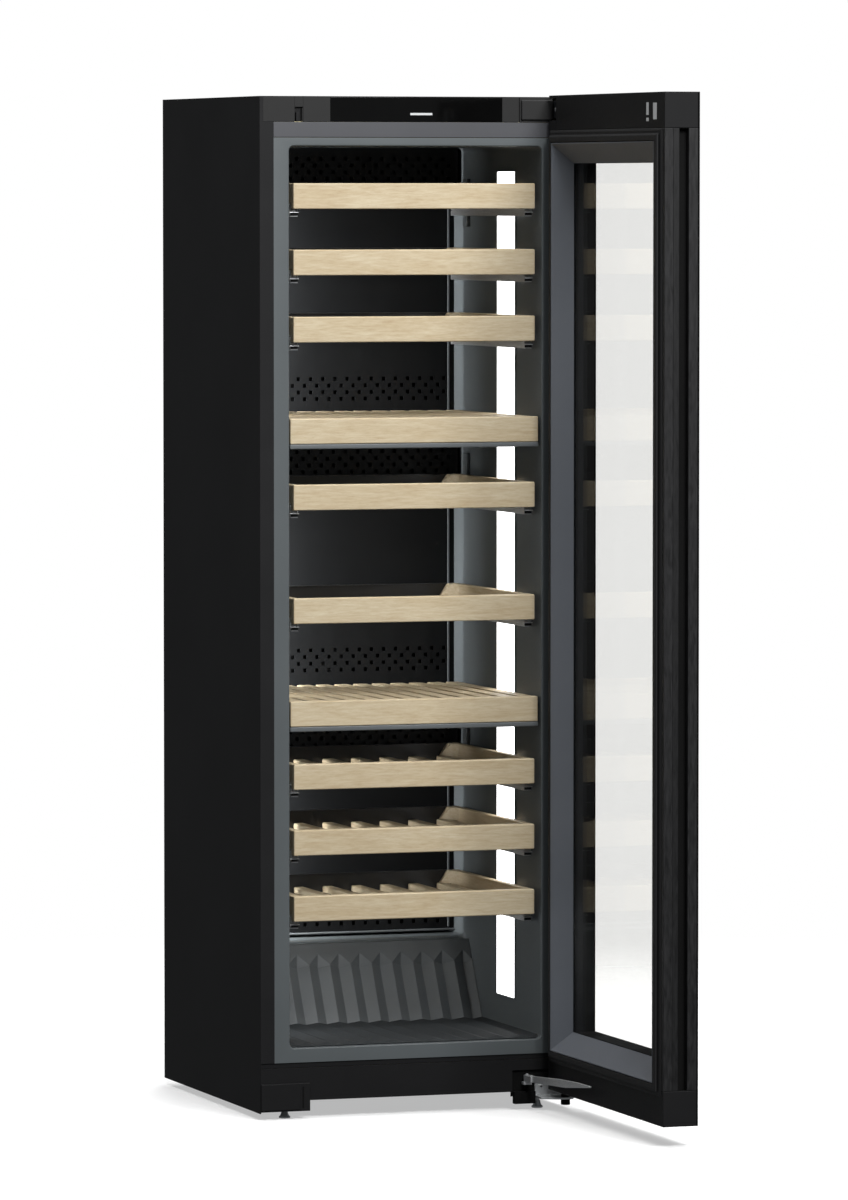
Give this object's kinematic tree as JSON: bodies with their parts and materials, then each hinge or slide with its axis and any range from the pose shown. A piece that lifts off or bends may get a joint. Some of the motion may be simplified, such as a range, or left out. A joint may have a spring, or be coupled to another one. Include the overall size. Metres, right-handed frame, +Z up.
{
  "type": "wine cooler",
  "caption": "Tall free-standing three-zone wine cooler with sliding wooden bottle drawers, divider shelves and a glass door on the right, shown open.",
  "frame": {"origin": "on the floor, at the middle of the footprint of the whole cooler with its door standing open at rest", "axes": "+X to the cooler's right as one faces its opening, +Y towards its back, +Z up"},
  "size_m": [0.6154, 1.2106, 1.8575],
  "materials": {
    "black_steel": "satin",
    "zinc_steel": "satin",
    "foam": "matte",
    "liner_grey": "satin",
    "strip_grey": "satin",
    "black_plastic": "matte",
    "black_gloss": "gloss",
    "dark_grey_plastic": "satin",
    "light_white": "satin",
    "beech": "satin",
    "dark_steel": "satin",
    "bright_steel": "satin",
    "divider_grey": "satin",
    "frame_grey": "satin",
    "clear_glass": "gloss",
    "printed_glass": "gloss",
    "seal_rubber": "matte",
    "unit_black": "satin"
  },
  "bodies": {
    "cabinet": {"outer_case": "black_steel", "chassis": "zinc_steel", "rear_panel": "black_steel", "insulation": "foam", "liner": "liner_grey", "upper_strip": "strip_grey", "fascia": "dark_grey_plastic", "fascia_glass": "black_gloss", "plinth": "black_plastic", "foot_cover": "black_plastic", "duct_panel": "dark_grey_plastic", "fan_covers": "dark_grey_plastic", "light_strips": "light_white", "sensor_housings": "black_plastic", "bottle_rest": "dark_grey_plastic", "cooling_unit": "unit_black", "cabinet_rails": "bright_steel", "divider_boards": "beech", "divider_plates": "divider_grey", "upper_hinge": "dark_steel", "hinge_cover": "dark_grey_plastic", "lower_hinge": "bright_steel"},
    "door": {"door_core": "black_plastic", "door_caps": "black_plastic", "door_front_glass": "printed_glass", "door_inner_glass": "clear_glass", "door_inner_frame": "frame_grey", "door_gasket": "seal_rubber"},
    "closer": {"closer_arm": "bright_steel"},
    "drawer_1": {"drawer_1_wood": "beech", "drawer_1_carrier": "dark_steel"},
    "runner_1": {"drawer_1_runner": "bright_steel"},
    "drawer_2": {"drawer_2_wood": "beech", "drawer_2_carrier": "dark_steel"},
    "runner_2": {"drawer_2_runner": "bright_steel"},
    "drawer_3": {"drawer_3_wood": "beech", "drawer_3_carrier": "dark_steel"},
    "runner_3": {"drawer_3_runner": "bright_steel"},
    "drawer_4": {"drawer_4_wood": "beech", "drawer_4_carrier": "dark_steel"},
    "runner_4": {"drawer_4_runner": "bright_steel"},
    "drawer_5": {"drawer_5_wood": "beech", "drawer_5_carrier": "dark_steel"},
    "runner_5": {"drawer_5_runner": "bright_steel"},
    "drawer_6": {"drawer_6_wood": "beech", "drawer_6_carrier": "dark_steel"},
    "runner_6": {"drawer_6_runner": "bright_steel"},
    "drawer_7": {"drawer_7_wood": "beech", "drawer_7_carrier": "dark_steel"},
    "runner_7": {"drawer_7_runner": "bright_steel"},
    "drawer_8": {"drawer_8_wood": "beech", "drawer_8_carrier": "dark_steel"},
    "runner_8": {"drawer_8_runner": "bright_steel"},
    "front_foot_left_body": {"front_foot_left": "black_plastic"},
    "front_foot_right_body": {"front_foot_right": "black_plastic"},
    "rear_roller_left_body": {"rear_roller_left": "black_plastic"},
    "rear_roller_right_body": {"rear_roller_right": "black_plastic"},
    "fan_upper_body": {"fan_upper": "black_plastic"},
    "fan_middle_body": {"fan_middle": "black_plastic"},
    "fan_lower_body": {"fan_lower": "black_plastic"}
  },
  "joints": [
    {"name": "door_hinge", "type": "hinge", "parent": "cabinet", "child": "door", "pos_m": [0.26775, -0.02975, 0], "axis": [0, 0, 1], "range_deg": [-90, 15]},
    {"name": "closer_swing", "type": "hinge", "parent": "cabinet", "child": "closer", "pos_m": [0.20425, 0.00205, 0.053], "axis": [0, 0, 1], "range_deg": [-92.8, 15.6]},
    {"name": "drawer_1_slide", "type": "slide", "parent": "cabinet", "child": "drawer_1", "axis": [0, -1, 0], "range_m": [0, 0.33]},
    {"name": "runner_1_slide", "type": "slide", "parent": "cabinet", "child": "runner_1", "axis": [0, -1, 0], "range_m": [0, 0.1655]},
    {"name": "drawer_2_slide", "type": "slide", "parent": "cabinet", "child": "drawer_2", "axis": [0, -1, 0], "range_m": [0, 0.33]},
    {"name": "runner_2_slide", "type": "slide", "parent": "cabinet", "child": "runner_2", "axis": [0, -1, 0], "range_m": [0, 0.1655]},
    {"name": "drawer_3_slide", "type": "slide", "parent": "cabinet", "child": "drawer_3", "axis": [0, -1, 0], "range_m": [0, 0.33]},
    {"name": "runner_3_slide", "type": "slide", "parent": "cabinet", "child": "runner_3", "axis": [0, -1, 0], "range_m": [0, 0.1655]},
    {"name": "drawer_4_slide", "type": "slide", "parent": "cabinet", "child": "drawer_4", "axis": [0, -1, 0], "range_m": [0, 0.33]},
    {"name": "runner_4_slide", "type": "slide", "parent": "cabinet", "child": "runner_4", "axis": [0, -1, 0], "range_m": [0, 0.1655]},
    {"name": "drawer_5_slide", "type": "slide", "parent": "cabinet", "child": "drawer_5", "axis": [0, -1, 0], "range_m": [0, 0.33]},
    {"name": "runner_5_slide", "type": "slide", "parent": "cabinet", "child": "runner_5", "axis": [0, -1, 0], "range_m": [0, 0.1655]},
    {"name": "drawer_6_slide", "type": "slide", "parent": "cabinet", "child": "drawer_6", "axis": [0, -1, 0], "range_m": [0, 0.33]},
    {"name": "runner_6_slide", "type": "slide", "parent": "cabinet", "child": "runner_6", "axis": [0, -1, 0], "range_m": [0, 0.1655]},
    {"name": "drawer_7_slide", "type": "slide", "parent": "cabinet", "child": "drawer_7", "axis": [0, -1, 0], "range_m": [0, 0.33]},
    {"name": "runner_7_slide", "type": "slide", "parent": "cabinet", "child": "runner_7", "axis": [0, -1, 0], "range_m": [0, 0.1655]},
    {"name": "drawer_8_slide", "type": "slide", "parent": "cabinet", "child": "drawer_8", "axis": [0, -1, 0], "range_m": [0, 0.33]},
    {"name": "runner_8_slide", "type": "slide", "parent": "cabinet", "child": "runner_8", "axis": [0, -1, 0], "range_m": [0, 0.1655]},
    {"name": "front_foot_left_turn", "type": "hinge", "parent": "cabinet", "child": "front_foot_left_body", "pos_m": [-0.25325, 0.03225, 0], "axis": [0, 0, 1], "continuous": true},
    {"name": "rear_roller_left_spin", "type": "hinge", "parent": "cabinet", "child": "rear_roller_left_body", "pos_m": [-0.25925, 0.56525, 0.011], "axis": [1, 0, 0], "continuous": true},
    {"name": "front_foot_right_turn", "type": "hinge", "parent": "cabinet", "child": "front_foot_right_body", "pos_m": [0.23475, 0.03225, 0], "axis": [0, 0, 1], "continuous": true},
    {"name": "rear_roller_right_spin", "type": "hinge", "parent": "cabinet", "child": "rear_roller_right_body", "pos_m": [0.24075, 0.56525, 0.011], "axis": [1, 0, 0], "continuous": true},
    {"name": "fan_upper_spin", "type": "hinge", "parent": "cabinet", "child": "fan_upper_body", "pos_m": [-0.00925, 0.46625, 1.7132], "axis": [0, 1, 0], "continuous": true},
    {"name": "fan_middle_spin", "type": "hinge", "parent": "cabinet", "child": "fan_middle_body", "pos_m": [-0.00925, 0.46625, 1.16528], "axis": [0, 1, 0], "continuous": true},
    {"name": "fan_lower_spin", "type": "hinge", "parent": "cabinet", "child": "fan_lower_body", "pos_m": [-0.00925, 0.46625, 0.65264], "axis": [0, 1, 0], "continuous": true}
  ],
  "couplings": [
    {"joint": "closer_swing", "follows": "door_hinge", "ratio": 1.03},
    {"joint": "runner_1_slide", "follows": "drawer_1_slide", "ratio": 0.5},
    {"joint": "runner_2_slide", "follows": "drawer_2_slide", "ratio": 0.5},
    {"joint": "runner_3_slide", "follows": "drawer_3_slide", "ratio": 0.5},
    {"joint": "runner_4_slide", "follows": "drawer_4_slide", "ratio": 0.5},
    {"joint": "runner_5_slide", "follows": "drawer_5_slide", "ratio": 0.5},
    {"joint": "runner_6_slide", "follows": "drawer_6_slide", "ratio": 0.5},
    {"joint": "runner_7_slide", "follows": "drawer_7_slide", "ratio": 0.5},
    {"joint": "runner_8_slide", "follows": "drawer_8_slide", "ratio": 0.5}
  ]
}
